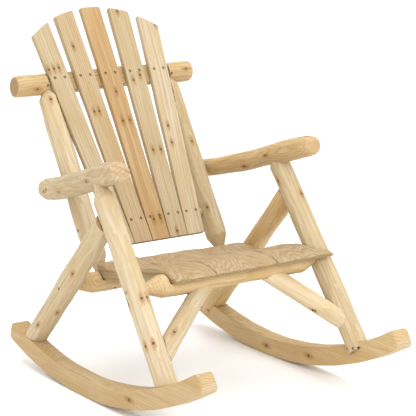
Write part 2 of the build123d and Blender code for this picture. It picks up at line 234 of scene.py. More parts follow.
def bar_mesh(section, size, start, end, rims=(2.0, 2.0), relief=None, spacing=4.0, rings=9):
    """Vertices and faces of a long piece.

    size(x) gives half width, half height, edge radius, and the centre's y and z.
    start and end are cuts, rims are how far their edges are rounded."""
    core, normal = section[:, :2], section[:, 2:]
    wide, high, edge, cy, cz = size(np.zeros(1))
    y0 = core[:, 0] * (wide - edge) + edge * normal[:, 0]
    z0 = core[:, 1] * (high - edge) + edge * normal[:, 1]
    first, last = start(y0, z0), end(y0, z0)
    leads = [np.array((0.0, 0.08, 0.3, 0.62, 1.0)) * rim for rim in rims]
    steps = max(int((np.median(last - first) - sum(rims)) / spacing), 8)
    rows, shrinks = [], []
    for lead in leads[0]:
        rows.append(first + lead)
        shrinks.append(rims[0] - np.sqrt(max(rims[0] ** 2 - (rims[0] - lead) ** 2, 0)))
    for share in np.linspace(0, 1, steps + 1)[1:-1]:
        rows.append(first + rims[0] + (last - first - sum(rims)) * share)
        shrinks.append(0.0)
    for lead in leads[1][::-1]:
        rows.append(last - lead)
        shrinks.append(rims[1] - np.sqrt(max(rims[1] ** 2 - (rims[1] - lead) ** 2, 0)))

    def lay(x, shrink, scale=1.0):
        wide, high, edge, cy, cz = size(x)
        tight = np.maximum(edge - shrink, 0.05)
        y = core[:, 0] * (wide - shrink - tight) + tight * normal[:, 0]
        z = core[:, 1] * (high - shrink - tight) + tight * normal[:, 1]
        if relief is not None:
            lift = relief(x, y, z, normal)
            y, z = y + lift * normal[:, 0], z + lift * normal[:, 1]
        return cy + y * scale, cz + z * scale

    points = []
    for x, shrink in zip(rows, shrinks):
        y, z = lay(x, shrink)
        points.append(np.stack([x, y, z], 1))
    count = len(section)
    faces = []
    for row in range(len(rows) - 1):
        for i in range(count):
            j = (i + 1) % count
            a, b = row * count, (row + 1) * count
            faces.append((a + i, b + i, b + j, a + j))
    total = len(rows) * count
    for which, cut in ((0, start), (-1, end)):
        x, shrink = rows[which], shrinks[which]
        edge_ring = 0 if which == 0 else (len(rows) - 1) * count
        for ring in range(1, rings):
            y, z = lay(x, shrink, 1 - ring / rings)
            inner = size(x)
            points.append(np.stack([cut(y - inner[3], z - inner[4]), y, z], 1))
            for i in range(count):
                j = (i + 1) % count
                quad = (edge_ring + i, edge_ring + j, total + j, total + i)
                faces.append(quad if which == 0 else quad[::-1])
            edge_ring = total
            total += count
        middle = size(np.full(1, x.mean()))
        cy, cz = float(np.ravel(middle[3])[0]), float(np.ravel(middle[4])[0])
        at = float(cut(np.zeros(1), np.zeros(1))[0])
        points.append(np.array([[at, cy, cz]]))
        for i in range(count):
            j = (i + 1) % count
            spoke = (edge_ring + i, edge_ring + j, total)
            faces.append(spoke if which == 0 else spoke[::-1])
        total += 1
    return np.concatenate(points), [face[::-1] for face in faces]


def add_piece(name, points, faces, axes, material, nodes, sharp=38):
    """Makes the object in the piece's own axes and hands it to the frame."""
    mesh = bpy.data.meshes.new(name)
    mesh.from_pydata([tuple(p) for p in points * MM], [], faces)
    mesh.validate()
    mesh.shade_smooth()
    mesh.set_sharp_from_angle(angle=radians(sharp))
    mesh.materials.append(material)
    piece = bpy.data.objects.new(name, mesh)
    bpy.context.collection.objects.link(piece)
    piece.matrix_world = axes.matrix()
    bpy.context.view_layer.update()
    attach(piece, "root")
    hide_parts(*nodes)
    return piece


# =========================================================================
# Materials
# =========================================================================
class Tree:
    """Short words for building a node tree."""

    def __init__(self, tree):
        self.tree = tree

    def node(self, kind, inputs=(), **settings):
        made = self.tree.nodes.new(kind)
        for key, value in settings.items():
            setattr(made, key, value)
        for key, value in dict(inputs).items():
            socket = made.inputs[key]
            if isinstance(value, bpy.types.NodeSocket):
                self.tree.links.new(value, socket)
            else:
                socket.default_value = value
        return made

    def math(self, operation, *values):
        return self.node("ShaderNodeMath", dict(enumerate(values)), operation=operation).outputs[0]

    def vector(self, operation, *values):
        made = self.node("ShaderNodeVectorMath", dict(enumerate(values)), operation=operation)
        return made.outputs["Value" if operation in ("LENGTH", "DOT_PRODUCT") else "Vector"]

    def fade(self, value, low, high, to_low=0.0, to_high=1.0):
        """value from low to high, smoothly mapped to to_low .. to_high."""
        keys = {"Value": value, "From Min": low, "From Max": high, "To Min": to_low, "To Max": to_high}
        return self.node("ShaderNodeMapRange", keys, interpolation_type="SMOOTHSTEP").outputs[0]

    def noise(self, vector, scale, detail=3.0, rough=0.5, colour=False):
        keys = {"Vector": vector, "Scale": scale, "Detail": detail, "Roughness": rough}
        return self.node("ShaderNodeTexNoise", keys).outputs["Color" if colour else 0]

    def mix(self, share, a, b, blend="MIX"):
        made = self.node("ShaderNodeMix", data_type="RGBA", blend_type=blend)
        for index, value in ((0, share), (6, a), (7, b)):
            if isinstance(value, bpy.types.NodeSocket):
                self.tree.links.new(value, made.inputs[index])
            else:
                made.inputs[index].default_value = value if index == 0 else (*value, 1)
        return made.outputs[2]


def knot_group():
    """Bends the grain round one knot, and marks its core and its halo."""
    group = bpy.data.node_groups.new("knot", "ShaderNodeTree")
    passed = (("Vector", "Vector"), ("Core", "Float"), ("Halo", "Float"))
    for name, kind in (*passed, ("Centre", "Vector"), ("Radius", "Float")):
        group.interface.new_socket(name, in_out="INPUT", socket_type=f"NodeSocket{kind}")
    for name, kind in passed:
        group.interface.new_socket(name, in_out="OUTPUT", socket_type=f"NodeSocket{kind}")
    t = Tree(group)
    given = t.node("NodeGroupInput").outputs
    away = t.vector("SUBTRACT", given["Vector"], given["Centre"])
    reach = t.math("DIVIDE", t.vector("LENGTH", away), given["Radius"])
    along = t.vector("MULTIPLY", away, (0.38, 1.0, 1.0))
    stretched = t.math("DIVIDE", t.vector("LENGTH", along), given["Radius"])
    pull = t.fade(stretched, 0.2, 3.0, 0.8, 0.0)
    sideways = t.vector("MULTIPLY", away, (0.0, 1.0, 1.0))
    shift = t.node("ShaderNodeVectorMath", {0: sideways, "Scale": pull}, operation="SCALE").outputs[0]
    bent = t.vector("SUBTRACT", given["Vector"], shift)
    core = t.math("MAXIMUM", given["Core"], t.fade(reach, 0.7, 1.15, 1.0, 0.0))
    halo = t.math("MAXIMUM", given["Halo"], t.fade(stretched, 0.7, 2.3, 1.0, 0.0))
    t.node("NodeGroupOutput", {"Vector": bent, "Core": core, "Halo": halo})
    return group


KNOT = knot_group()


def shade(colour, red, green, blue):
    return (colour[0] * red, colour[1] * green, colour[2] * blue)


def wood(
    name,
    base,
    knots=(),
    pith=(0.0, 0.0),
    ring=3.2,
    warp=5.0,
    wild=0.0022,
    contrast=0.5,
    streak=0.5,
    amber=0.5,
    seed=0,
    end=None,
):
    """Peeled or sawn fir of about the base colour.

    knots lists (x, y, z, radius) in the piece's own millimetres. pith is where the
    rings are centred in the piece's y and z, warp how far they wander (millimetres)
    and wild how quickly along the piece."""
    pale, late = shade(base, 1.10, 1.12, 1.16), shade(base, 0.70, 0.55, 0.36)
    tint = shade(base, 0.93, 0.80, 0.58)
    end = end or shade(base, 0.72, 0.68, 0.60)
    material = bpy.data.materials.new(name)
    material.use_nodes = True
    t = Tree(material.node_tree)
    t.tree.nodes.clear()
    own = t.node("ShaderNodeTexCoord").outputs
    straight = grain = t.vector("MULTIPLY", own["Object"], (1000.0, 1000.0, 1000.0))
    core, halo = 0.0, 0.0
    for x, y, z, radius in knots:
        made = t.node("ShaderNodeGroup")
        made.node_tree = KNOT
        t.tree.links.new(grain, made.inputs["Vector"])
        for key, value in (("Core", core), ("Halo", halo)):
            if isinstance(value, bpy.types.NodeSocket):
                t.tree.links.new(value, made.inputs[key])
        made.inputs["Centre"].default_value = (x, y, z)
        made.inputs["Radius"].default_value = radius
        grain, core, halo = made.outputs["Vector"], made.outputs["Core"], made.outputs["Halo"]
    shifted = t.vector("ADD", grain, (seed * 37.0, seed * 11.0, seed * 5.0))

    # rings round the pith, wandering along the trunk
    slow = t.vector("MULTIPLY", shifted, (wild, 0.012, 0.012))
    wander = t.vector("SUBTRACT", t.noise(slow, 1.0, 1.0, 0.4, colour=True), (0.5, 0.5, 0.5))
    wander = t.vector("MULTIPLY", wander, (0.0, warp * 4, warp * 4))
    radial = t.vector("ADD", t.vector("MULTIPLY", grain, (0.0, 1.0, 1.0)), wander)
    radial = t.vector("SUBTRACT", radial, (0.0, pith[0], pith[1]))
    far = t.math("DIVIDE", t.vector("LENGTH", radial), ring)
    uneven = t.noise(t.vector("MULTIPLY", shifted, (wild * 0.6, 0.035, 0.035)), 1.0, 2.0)
    far = t.math("ADD", far, t.math("MULTIPLY", uneven, 3.0))
    year = t.math("FRACT", far)
    summer = t.math("MULTIPLY", t.fade(year, 0.25, 0.9), t.fade(year, 0.93, 1.0, 1.0, 0.0))

    # fibres and long streaks
    fine = t.noise(t.vector("MULTIPLY", shifted, (0.012, 0.55, 0.55)), 1.0, 4.0, 0.65)
    long = t.noise(t.vector("MULTIPLY", shifted, (0.0032, 0.13, 0.13)), 1.0, 3.0, 0.6)
    patch = t.noise(t.vector("MULTIPLY", shifted, (0.006, 0.022, 0.022)), 1.0, 2.0, 0.5)

    colour = t.mix(t.math("MULTIPLY", summer, contrast), pale, late)
    colour = t.mix(t.fade(long, 0.45, 0.75, 0.0, streak), colour, late)
    colour = t.mix(t.fade(patch, 0.40, 0.68, 0.0, amber), colour, tint)
    colour = t.mix(t.fade(fine, 0.40, 0.78, 0.0, 0.5), colour, late)

    # sawn ends show the rings, greyer and darker
    facing = t.math("ABSOLUTE", t.node("ShaderNodeSeparateXYZ", {0: own["Normal"]}).outputs[0])
    sawn = t.fade(facing, 0.80, 0.97)
    face_rings = t.mix(t.math("MULTIPLY", summer, 0.55), end, shade(end, 0.62, 0.52, 0.42))
    colour = t.mix(sawn, colour, face_rings)

    # knots: an amber halo round a dark core
    if knots:
        grit = t.noise(straight, 0.45, 3.0, 0.7)
        colour = t.mix(t.math("MULTIPLY", halo, 0.75), colour, shade(base, 0.66, 0.45, 0.26))
        dark = t.mix(t.fade(grit, 0.35, 0.65), (0.06, 0.028, 0.012), (0.20, 0.10, 0.045))
        colour = t.mix(core, colour, dark)

    height = t.math("ADD", t.math("MULTIPLY", fine, 0.9), t.math("MULTIPLY", summer, 0.35))
    height = t.math("ADD", height, t.math("MULTIPLY", long, 0.8))
    if knots:
        height = t.math("SUBTRACT", height, t.math("MULTIPLY", core, 0.6))
    bump = t.node("ShaderNodeBump", {"Strength": 0.6, "Distance": 0.0007, "Height": height}).outputs[0]
    rough = t.fade(fine, 0.3, 0.75, 0.52, 0.72)
    shader = t.node("ShaderNodeBsdfPrincipled", {"Base Color": colour, "Roughness": rough, "Normal": bump})
    shader.inputs["Specular IOR Level"].default_value = 0.3
    t.node("ShaderNodeOutputMaterial", {"Surface": shader.outputs[0]})
    return material


# the woods
CREAM = (0.52, 0.43, 0.29)
STRAW = (0.46, 0.37, 0.23)
HONEY = (0.48, 0.35, 0.18)
TAN = (0.41, 0.31, 0.18)
GOLD = (0.40, 0.27, 0.13)

# each piece's wood and how bright it is
WOODS = {
    "left_rocker": (HONEY, 0.95),
    "right_rocker": (HONEY, 1.05),
    "left_front_post": (CREAM, 1.0),
    "right_front_post": (STRAW, 1.05),
    "left_rear_leg": (STRAW, 1.05),
    "right_rear_leg": (HONEY, 1.15),
    "left_arm": (STRAW, 1.0),
    "right_arm": (HONEY, 1.0),
    "left_back_pole": (CREAM, 1.0),
    "right_back_pole": (STRAW, 0.95),
    "left_knee_brace": (CREAM, 0.95),
    "right_knee_brace": (CREAM, 1.1),
    "upper_crossbar": (HONEY, 0.95),
    "lower_crossbar": (STRAW, 0.9),
    "front_seat_rail": (HONEY, 1.05),
    "rear_seat_rail": (HONEY, 1.1),
    "back_slat_1": (STRAW, 0.9),
    "back_slat_2": (TAN, 1.0),
    "back_slat_3": (GOLD, 1.0),
    "back_slat_4": (STRAW, 0.9),
    "back_slat_5": (CREAM, 0.9),
    "seat_board_1": (TAN, 0.92),
    "seat_board_2": (TAN, 0.92),
    "seat_board_3": (TAN, 0.92),
}

# Knots: the share of the piece's length, then on a board the share of its
# half width, and on a log the degrees round it from its own y towards its z.
SLAT_KNOTS = {
    1: [(0.72, 0.8), (0.72, 0.25), (0.72, -0.25)],
    2: [(0.8, 0.2), (0.53, 0.4), (0.53, -0.1)],
    3: [(0.6, 0), (0.48, 0.25), (0.48, -0.5), (0.08, 0.2), (0.08, -0.5)],
    4: [(0.93, 0.2), (0.66, -0.4), (0.64, 0.4), (0.35, 0.3), (0.35, -0.5), (0.02, 0.1)],
    5: [(0.87, -0.7), (0.44, 0.4), (0.37, 0.4)],
}
LOG_KNOTS = {
    "left_front_post": [(0.4, 75), (0.4, 105), (0.4, -15), (0.2, 60), (0.2, 15)],
    "right_front_post": [(0.85, 0), (0.75, 100)],
    "left_rear_leg": [(0.65, 30), (0.35, 70), (0.2, 15)],
    "left_arm": [(0.1, 190), (0.3, 210), (0.7, 190)],
    "right_arm": [(0.15, 110), (0.65, 180), (0.45, 220), (0.95, 100)],
    "left_back_pole": [(0.9, 70)],
    "right_back_pole": [(0.85, 60), (0.6, 90), (0.25, 55)],
    "left_knee_brace": [(0.3, 40)],
    "right_knee_brace": [(0.4, 25)],
    "upper_crossbar": [(0.1, 135), (0.95, 100)],
}
ROCKER_KNOTS = {"left": [0.65], "right": [0.4, 0.6]}
KNOT_SIZE = 3.8


def timber(node, knots=(), **looks):
    """The wood of one node."""
    colour, bright = WOODS[node]
    return wood(f"{node}_wood", shade(colour, bright, bright, bright), knots, **looks)


def log_timber(node, length, radius=LOG, **looks):
    """The wood of a log, with its knots on its surface."""
    spots = [(share * length, radians(turn)) for share, turn in LOG_KNOTS.get(node, ())]
    knots = [(x, radius * cos(turn), radius * sin(turn), KNOT_SIZE) for x, turn in spots]
    return timber(node, knots, **looks)


def screw_steel():
    """Dark phosphated steel, rubbed brighter here and there."""
    material = bpy.data.materials.new("screw_steel")
    material.use_nodes = True
    t = Tree(material.node_tree)
    t.tree.nodes.clear()
    place = t.node("ShaderNodeTexCoord").outputs["Object"]
    worn = t.noise(place, 900.0, 3.0)
    colour = t.mix(t.fade(worn, 0.45, 0.7), (0.030, 0.020, 0.014), (0.085, 0.060, 0.042))
    rough = t.fade(worn, 0.4, 0.7, 0.62, 0.38)
    bump = t.node("ShaderNodeBump", {"Strength": 0.3, "Distance": 0.0002, "Height": worn}).outputs[0]
    shader = t.node("ShaderNodeBsdfPrincipled", {"Base Color": colour, "Roughness": rough, "Normal": bump})
    shader.inputs["Metallic"].default_value = 0.4
    t.node("ShaderNodeOutputMaterial", {"Surface": shader.outputs[0]})
    return material


# =========================================================================
# Screws, found in the frame
# =========================================================================
HEAD_R = 3.6
NO_SCREW = (0.31, 0.27, 0.91)  # a direction that no screw points in
SCREW_NODES = sorted(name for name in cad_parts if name.endswith("_screws"))


def islands(mesh):
    """The separate solids of a mesh, as arrays of points."""
    spots = [tuple(round(c / MM, 2) for c in vertex.co) for vertex in mesh.vertices]
    home = {spot: spot for spot in spots}

    def root(spot):
        while home[spot] != spot:
            spot = home[spot]
        return spot

    for edge in mesh.edges:
        a, b = (root(spots[v]) for v in edge.vertices)
        home[a] = b
    groups = {}
    for spot in home:
        groups.setdefault(root(spot), []).append(spot)
    return [np.array(points) for points in groups.values()]


def screw_places(node):
    """(middle of the head's face, direction, length) of each screw of a node."""
    places = []
    for points in islands(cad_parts[node].data):
        middle = points.mean(0)
        along = np.linalg.svd(points - middle)[2][0]
        reach = (points - middle) @ along
        wide = np.linalg.norm(points - middle - np.multiply.outer(reach, along), axis=1)
        if reach[wide > wide.max() * 0.9].mean() > 0:
            along, reach = -along, -reach
        ring = points[wide > wide.max() * 0.9]
        centre = ring.mean(0)
        head = centre + along * (reach.min() - (centre - middle) @ along)
        places.append((head, along, reach.max() - reach.min()))
    return places


PLACES = {node: screw_places(node) for node in SCREW_NODES}


def lathe(outline, axes, count, dent=None):
    """A turned closed mesh from (distance, radius) points; dent changes them by angle."""
    points, faces = [], []
    turn = np.arange(count) * 2 * pi / count
    for x, r in outline:
        ring_x, ring_r = np.full(count, x), np.full(count, r)
        if dent is not None:
            ring_x, ring_r = dent(ring_x, ring_r, turn)
        points.append(axes.place(ring_x, ring_r * np.cos(turn), ring_r * np.sin(turn)))
    for row in range(len(outline) - 1):
        for i in range(count):
            j = (i + 1) % count
            a, b = row * count, (row + 1) * count
            faces.append((a + i, b + i, b + j, a + j))
    faces.append(tuple(range(count)))
    faces.append(tuple(range(len(outline) * count - 1, (len(outline) - 1) * count - 1, -1)))
    return np.concatenate(points), [face[::-1] for face in faces]


def cross_recess(x, r, turn):
    """Presses a cross into the head's face and a thread into the shank."""
    arm = np.minimum(np.abs(np.sin(turn)), np.abs(np.cos(turn))) * r
    deep = np.where((x < 0.5) & (r < 2.0) & (arm < 0.55), 1.5 - 0.4 * r, 0.0)
    coil = ((x / 1.6 + turn / (2 * pi)) % 1.0 - 0.5) * 2
    thread = np.where(x > 5.0, 0.45 * (1 - 2 * np.abs(coil)), 0.0)
    return x + deep, r + thread


def make_screws(node, steel):
    whole_points, whole_faces, total = [], [], 0
    for head, along, length in PLACES[node]:
        axes = Axes(head, along, np.cross(along, NO_SCREW))
        face = [(0.0, r) for r in (0.3, 0.9, 1.4, 1.9, 2.4, 2.9, 3.3)]
        neck = [(0.25, 3.5), (0.7, 3.5), (3.2, 1.9), (5.0, 1.75)]
        shank = [(x, 1.65) for x in np.arange(5.6, length - 4.0, 0.8)]
        tip = [(length - 3.0, 1.4), (length - 0.6, 0.3)]
        points, faces = lathe(face + neck + shank + tip, axes, 24, cross_recess)
        whole_points.append(points)
        whole_faces.extend(tuple(i + total for i in f) for f in faces)
        total += len(points)
    plain = Axes((0, 0, 0), (1, 0, 0), (0, 0, 1))
    points = np.concatenate(whole_points)
    add_piece(f"{node}_visual", points, whole_faces, plain, steel, [node], 30)


def drill(piece, nodes):
    """Cuts the recess of every screw whose head lies in the piece's surface."""
    points, faces, total = [], [], 0
    for node in nodes:
        for head, along, _ in PLACES[node]:
            axes = Axes(head, along, np.cross(along, NO_SCREW))
            outline = [(-12.0, HEAD_R + 1.6), (-1.5, HEAD_R + 0.5), (0.3, HEAD_R + 0.25)]
            hole, sides = lathe(outline, axes, 28)
            points.append(hole)
            faces.extend(tuple(i + total for i in f) for f in sides)
            total += len(hole)
    mesh = bpy.data.meshes.new("cutter")
    mesh.from_pydata([tuple(p) for p in np.concatenate(points) * MM], [], faces)
    cutter = bpy.data.objects.new("cutter", mesh)
    bpy.context.collection.objects.link(cutter)
    cut = piece.modifiers.new("recesses", "BOOLEAN")
    cut.operation, cut.solver, cut.object = "DIFFERENCE", "EXACT", cutter
    bpy.context.view_layer.update()
    done = bpy.data.meshes.new_from_object(piece.evaluated_get(bpy.context.evaluated_depsgraph_get()))
    piece.modifiers.clear()
    piece.data = done
    bpy.data.objects.remove(cutter)
    done.shade_smooth()
    done.set_sharp_from_angle(angle=radians(38))


# =========================================================================
# Logs
# =========================================================================
ROUND = round_section(64)


def log_size(radius, outline=((0, 1),), bend=None):
    """outline lists (x, share of the radius); bend gives the centre's y and z for x."""
    xs, shares = zip(*outline)

    def size(x):
        share = sum(np.interp(x + step, xs, shares) for step in (-2.5, 0.0, 2.5)) / 3
        cy, cz = bend(x) if bend else (0 * x, 0 * x)
        return radius * share, radius * share, radius * share, cy, cz

    return size


def peeled(seed, lumps=0.9, flats=0.55, grooves=()):
    """The uneven surface of a log peeled with a draw-knife.

    grooves lists (angle, depth, width, from x, to x), angles in degrees from y towards z."""

    def relief(x, y, z, normal):
        lift = lumps * ripple(seed, 95, x * 0.55, y * 1.3, z * 1.3)
        lift = lift + flats * ripple(seed + 1, 24, x * 0.16, y, z)
        lift = lift + 0.22 * ripple(seed + 2, 9, x * 0.5, y, z)
        for angle, depth, width, low, high in grooves:
            turn = np.arctan2(normal[:, 1], normal[:, 0]) - np.radians(angle + 2.5 * ripple(seed, 80, x))
            off = np.abs((turn + pi) % (2 * pi) - pi) * LOG / width
            here = np.clip((x - low) / 12, 0, 1) * np.clip((high - x) / 12, 0, 1)
            lift = lift - depth * here * np.exp(-off * off)
        return lift

    return relief


def make_log(
    name, axes, start, end, size, tone, node, relief, rims=(2.0, 2.0), holes=(), trim=None, spacing=4.0
):
    points, faces = bar_mesh(ROUND, size, start, end, rims, relief, spacing)
    if trim is not None:
        points = trim(points)
    piece = add_piece(name, points, faces, axes, tone, [node])
    if holes:
        drill(piece, holes)
    return piece


def foot_lap(axes, side):
    """A foot that stands on the rocker, with a tongue down its inner face."""
    on = meets(axes, (0, CONTACT_Y, ROCKER_RADIUS), (1, 0, 0), ROCKER_RADIUS - ROCKER_DEEP, -1)
    inner = ROCKER_X[side] - ROCKER_THICK / 2

    def cut(y, z):
        outside = side * axes.place(0 * y, y, z)[..., 0] > inner
        return np.where(outside, on(y, z), 0.6 * ripple(3, 12, y, z))

    return cut


def make_post(word, side):
    foot, top = post_axis(side, POST_FOOT_Z), post_axis(side, arm_over_post(side) + 8)
    axes = Axes(foot, top - foot, (0, -1, 0))
    length = np.linalg.norm(top - foot)
    shoulder = np.linalg.norm(post_axis(side, POST_SHOULDER_Z[side]) - foot)
    outline = ((0, 1), (shoulder, 1), (shoulder + 25, 0.58), (shoulder + 42, 0.47), (length, 0.45))
    looks = dict(seed=3 + side, ring=3.4, pith=(3, -4), contrast=0.35, streak=0.5)
    node = f"{word}_front_post"
    tone = log_timber(node, length, **looks)
    relief = peeled(11 + side)
    size = log_size(LOG, outline)
    lap, holes = foot_lap(axes, side), ("post_foot_screws", "rail_screws")
    make_log(f"{node}_log", axes, lap, flat(length), size, tone, node, relief, holes=holes)


def make_leg(word, side):
    foot, top = leg_axis(side, LEG_FOOT_Z), leg_axis(side, LEG_TOP_Z - 12)
    axes = Axes(foot, top - foot, (0, -1, 0))
    length = np.linalg.norm(top - foot)
    post = post_axis(side, 500) - post_axis(side, 300)
    against = meets(axes, post_axis(side, 300), post, LOG, -1)
    square = flat(length, tilt_z=-0.15)

    def end(y, z):
        return np.minimum(against(y, z), square(y, z))

    looks = dict(seed=7 + side, ring=3.0, pith=(5, 6), contrast=0.32, streak=0.5)
    node = f"{word}_rear_leg"
    tone = log_timber(node, length, **looks)
    relief = peeled(21 + side, grooves=((130 if side < 0 else 50, 2.0, 2.0, 30, length - 20),))
    lap, holes = foot_lap(axes, side), ("leg_foot_screws", "rail_screws", "leg_top_screws")
    make_log(f"{node}_log", axes, lap, end, log_size(LOG), tone, node, relief, holes=holes)


def make_arm(word, side):
    rear, front = arm_point(side, 1), arm_point(side, ARM_START[side])
    axes = Axes(rear, front - rear, (0, 0, 1))
    length = np.linalg.norm(front - rear)
    looks = dict(seed=12 + side, ring=2.6, pith=(2, -3), contrast=0.45, streak=0.55, end=(0.50, 0.33, 0.18))
    node = f"{word}_arm"
    tone = log_timber(node, length, **looks)
    ragged = side < 0

    def bend(x):
        return 0 * x, 3.0 * np.sin(x / length * 2 * pi + 2.4)

    if ragged:
        outline = ((0, 0.9), (10, 0.97), (40, 1), (250, 0.96), (length - 60, 1), (length, 0.86))
    else:
        tip = ((length - 90, 1.04), (length - 30, 1.0), (length, 0.84))
        outline = ((0, 0.85), (60, 0.88), (250, 0.92), *tip)
    size = log_size(ARM_LOG[side], outline, bend)
    end = flat(length - 2, tilt_z=-0.35, rough=2.0, seed=5) if ragged else flat(length, tilt_z=0.1, rough=0.5)
    relief = peeled(31 + side, lumps=1.3)
    rims = (12.0, 5.0 if ragged else 14.0)
    start, holes = flat(0, rough=0.4), ("arm_screws",)
    make_log(f"{node}_log", axes, start, end, size, tone, node, relief, rims, holes)


def make_pole(word, side):
    foot = back_point(BACK_X + side * POLE_X, POLE_FOOT_SHOULDER - POLE_FOOT_TENON, -AXIS_BEHIND)
    top = back_point(BACK_X + side * POLE_X, CROSSBAR_AT + 2, -AXIS_BEHIND)
    axes = Axes(foot, UP_BACK, OUT_BACK)
    length = np.linalg.norm(top - foot)
    shoulder = length - (CROSSBAR_AT + 2 - POLE_TOP_SHOULDER)
    tenon = ((shoulder, 1), (shoulder + 18, 0.55), (length, 0.46))
    outline = ((0, 0.46), (26, 0.46), (58, 0.97), (70, 1), *tenon)
    looks = dict(seed=17 + side, ring=2.8, pith=(-4, 4), contrast=0.4, streak=0.6)
    node = f"{word}_back_pole"
    tone = log_timber(node, length, **looks)
    seat = AXIS_BEHIND - SLAT_THICK

    def trim(points):
        along = POLE_FOOT_SHOULDER - POLE_FOOT_TENON + points[:, 0]
        x = side * POLE_X - points[:, 1]
        edge = 2 * (SLAT_PITCH + tan(radians(SLAT_FAN)) * along) + SLAT_WIDE_TOP / 2 + 0.5
        under = (side * x < edge) & (points[:, 2] > seat)
        points[under, 2] = seat
        return points

    make_log(
        f"{node}_log", axes, flat(0), flat(length), log_size(LOG, outline), tone, node,
        peeled(41 + side), holes=("lower_bar_screws",), trim=trim,
    )


def make_upper_crossbar():
    axes = Axes(back_point(-CROSSBAR_HALF, CROSSBAR_AT, -AXIS_BEHIND), (1, 0, 0), OUT_BACK)
    seat = AXIS_BEHIND - SLAT_THICK

    def trim(points):
        under = (np.abs(points[:, 0] - CROSSBAR_HALF - BACK_X) < CROSSBAR_FLAT) & (points[:, 2] > seat)
        points[under, 2] = seat
        return points

    looks = dict(seed=23, ring=3.0, pith=(6, 3), contrast=0.45, streak=0.45)
    tone = log_timber("upper_crossbar", 2 * CROSSBAR_HALF, **looks)
    start, end = flat(0, 0.05, rough=0.3), flat(2 * CROSSBAR_HALF, 0.06, rough=0.3)
    outline = ((0, 0.96), (30, 1.0), (2 * CROSSBAR_HALF - 20, 1), (2 * CROSSBAR_HALF, 0.95))
    make_log(
        "upper_crossbar_log", axes, start, end, log_size(LOG, outline),
        tone, "upper_crossbar", peeled(51), (5.0, 6.0), ("crossbar_screws",), trim, 3.0,
    )


def make_lower_crossbar():
    half = POLE_X - LOG + 3
    axes = Axes(back_point(BACK_X - half, LOWER_ROW, -AXIS_BEHIND), (1, 0, 0), OUT_BACK)
    seat = AXIS_BEHIND - SLAT_THICK

    def trim(points):
        points[:, 2] = np.minimum(points[:, 2], seat)
        return points

    tone = timber("lower_crossbar", seed=29, ring=3.0, pith=(2, -5), contrast=0.45)
    start = meets(axes, back_point(BACK_X - POLE_X, 0, -AXIS_BEHIND), UP_BACK, LOG, 1)
    end = meets(axes, back_point(BACK_X + POLE_X, 0, -AXIS_BEHIND), UP_BACK, LOG, -1)
    outline = ((0, 0.52), (3, 0.52), (29, 1.0), (2 * half - 29, 1), (2 * half - 3, 0.52), (2 * half, 0.52))
    make_log(
        "lower_crossbar_log", axes, start, end, log_size(LOWER_BAR_LOG, outline),
        tone, "lower_crossbar", peeled(57), trim=trim,
    )


def make_rail(name, node, y, z, radius, shoulder, seed):
    axes = Axes((-RAIL_END, y, z), (1, 0, 0), (0, BED_SLOPE, 1))
    nose = RAIL_END - shoulder
    length = 2 * RAIL_END

    def trim(points):
        across = points[:, 0] - RAIL_END
        under = (across > RAIL_FLAT[0]) & (across < RAIL_FLAT[1]) & (points[:, 2] > BED_ABOVE)
        points[under, 2] = BED_ABOVE - 0.3
        return points

    tip = TENON / radius
    outline = ((0, tip), (14, tip), (nose, 1), (length - nose, 1), (length - 14, tip), (length, tip))
    tone = timber(node, seed=seed, ring=3.0, pith=(4, -4), contrast=0.4, streak=0.5)
    make_log(
        name, axes, flat(0), flat(length), log_size(radius, outline), tone, node,
        peeled(61 + seed), holes=("seat_board_screws",), trim=trim, spacing=3.0,
    )


def make_brace(word, side):
    foot, top = post_axis(side, BRACE_FOOT_Z), brace_top(side)
    axes = Axes(foot, top - foot, (0, -1, 0))
    length = np.linalg.norm(top - foot)
    post = post_axis(side, 500) - post_axis(side, 300)
    start = meets(axes, post_axis(side, 300), post, LOG, 1)
    under = meets(axes, (0, FRONT_RAIL_Y, FRONT_RAIL_Z), (1, 0, 0), FRONT_RAIL_LOG, -1)
    looks = dict(seed=71 + side, ring=3.0, pith=(3, 3), contrast=0.35, streak=0.4)
    node = f"{word}_knee_brace"
    tone = log_timber(node, length, BRACE_LOG, **looks)
    make_log(
        f"{node}_log", axes, start, under, log_size(BRACE_LOG), tone, node,
        peeled(71 + side), holes=("brace_screws",),
    )


# =========================================================================
# Boards
# =========================================================================
SLAT_PITH = {-2: (38, -34), -1: (-52, -30), 0: (12, -44), 1: (48, -26), 2: (-30, -40)}


